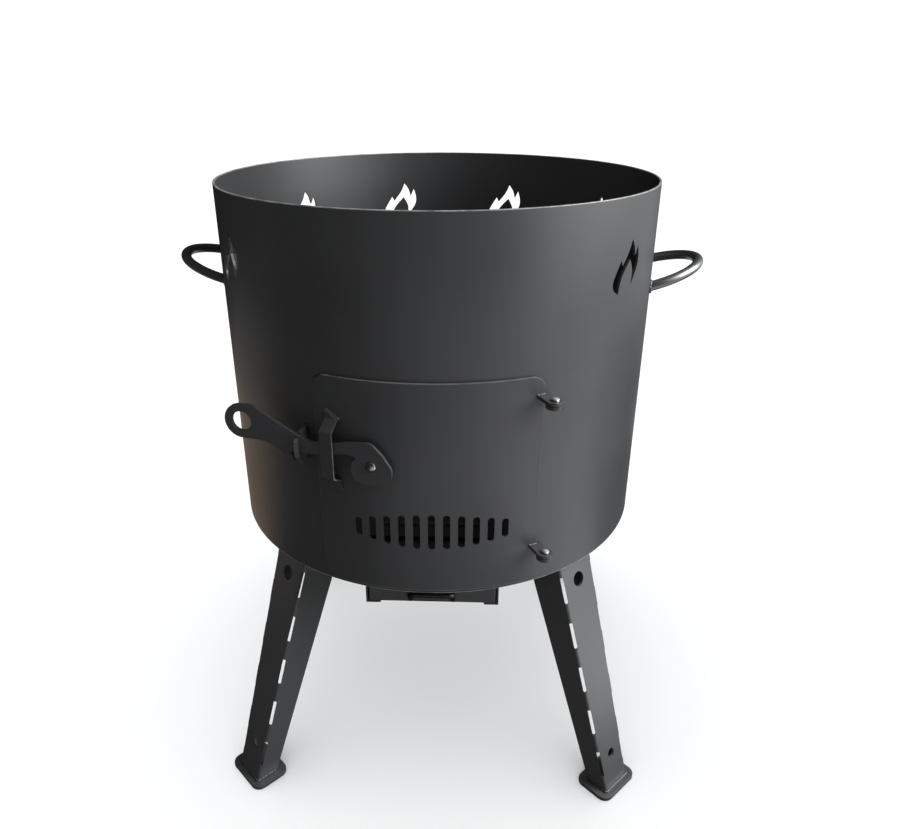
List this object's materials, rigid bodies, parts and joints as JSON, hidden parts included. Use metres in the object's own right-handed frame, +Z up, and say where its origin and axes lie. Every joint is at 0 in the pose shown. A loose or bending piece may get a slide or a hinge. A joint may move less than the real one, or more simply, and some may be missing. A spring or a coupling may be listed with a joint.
{
  "type": "cauldron stove",
  "caption": "Round sheet steel stove for a cauldron, on splayed folded legs, with a latched curved door, flame vents, side handles, a loose grate and a sliding ash pan.",
  "frame": {"origin": "on the drum's axis at ground level, under the middle of the four feet", "axes": "+Z up along the drum's axis, -Y out through the middle of the door, +X to the right of someone who faces the door"},
  "size_m": [0.5026, 0.4157, 0.57],
  "materials": {
    "drum_shell": "satin black heat-proof paint",
    "drum_floor": "dull dark steel",
    "fire_grate": "dull dark steel",
    "handle_left": "satin black heat-proof paint",
    "handle_right": "satin black heat-proof paint",
    "leg_front_left": "satin black heat-proof paint",
    "leg_front_right": "satin black heat-proof paint",
    "leg_rear_left": "satin black heat-proof paint",
    "leg_rear_right": "satin black heat-proof paint",
    "foot_front_left": "satin black heat-proof paint",
    "foot_front_right": "satin black heat-proof paint",
    "foot_rear_left": "satin black heat-proof paint",
    "foot_rear_right": "satin black heat-proof paint",
    "leg_bolt_front_left": "bright zinc",
    "leg_bolt_front_right": "bright zinc",
    "leg_bolt_rear_left": "bright zinc",
    "leg_bolt_rear_right": "bright zinc",
    "leg_nut_front_left": "bright zinc",
    "leg_nut_front_right": "bright zinc",
    "leg_nut_rear_left": "bright zinc",
    "leg_nut_rear_right": "bright zinc",
    "door_panel": "satin black heat-proof paint",
    "door_lug_upper": "satin black heat-proof paint",
    "door_lug_lower": "satin black heat-proof paint",
    "shell_lug_upper": "satin black heat-proof paint",
    "shell_lug_lower": "satin black heat-proof paint",
    "hinge_pin_upper": "bare steel",
    "hinge_pin_lower": "bare steel",
    "latch_lever": "satin black heat-proof paint",
    "latch_rivet": "bare steel",
    "latch_spacer": "bare steel",
    "latch_guide": "satin black heat-proof paint",
    "latch_catch": "satin black heat-proof paint",
    "ash_pan": "satin black heat-proof paint",
    "ash_pan_pull": "bare steel",
    "pan_rail_left": "satin black heat-proof paint",
    "pan_rail_right": "satin black heat-proof paint"
  },
  "bodies": {
    "stand": {"drum_shell": "drum_shell", "drum_floor": "drum_floor", "handle_left": "handle_left", "handle_right": "handle_right", "leg_front_left": "leg_front_left", "leg_front_right": "leg_front_right", "leg_rear_left": "leg_rear_left", "leg_rear_right": "leg_rear_right", "foot_front_left": "foot_front_left", "foot_front_right": "foot_front_right", "foot_rear_left": "foot_rear_left", "foot_rear_right": "foot_rear_right", "leg_bolt_front_left": "leg_bolt_front_left", "leg_bolt_front_right": "leg_bolt_front_right", "leg_bolt_rear_left": "leg_bolt_rear_left", "leg_bolt_rear_right": "leg_bolt_rear_right", "leg_nut_front_left": "leg_nut_front_left", "leg_nut_front_right": "leg_nut_front_right", "leg_nut_rear_left": "leg_nut_rear_left", "leg_nut_rear_right": "leg_nut_rear_right", "shell_lug_upper": "shell_lug_upper", "shell_lug_lower": "shell_lug_lower", "hinge_pin_upper": "hinge_pin_upper", "hinge_pin_lower": "hinge_pin_lower", "latch_catch": "latch_catch", "pan_rail_left": "pan_rail_left", "pan_rail_right": "pan_rail_right"},
    "door": {"door_panel": "door_panel", "door_lug_upper": "door_lug_upper", "door_lug_lower": "door_lug_lower", "latch_rivet": "latch_rivet", "latch_spacer": "latch_spacer", "latch_guide": "latch_guide"},
    "latch": {"latch_lever": "latch_lever"},
    "pan": {"ash_pan": "ash_pan", "ash_pan_pull": "ash_pan_pull"},
    "grate": {"fire_grate": "fire_grate"}
  },
  "joints": [
    {"name": "door_hinge", "type": "hinge", "parent": "stand", "child": "door", "pos_m": [0.0984, -0.19565, 0.353], "axis": [0, 0, 1], "range_deg": [0, 110]},
    {"name": "latch_pivot", "type": "hinge", "parent": "door", "child": "latch", "pos_m": [-0.04519, -0.20652, 0.371], "axis": [0.2137, 0.9769, 0], "range_deg": [0, 13]},
    {"name": "ash_pan_slide", "type": "slide", "parent": "stand", "child": "pan", "axis": [0, -1, 0], "range_m": [0, 0.14]},
    {"name": "grate_lift", "type": "slide", "parent": "stand", "child": "grate", "axis": [0, 0, 1], "range_m": [0, 0.05]}
  ]
}
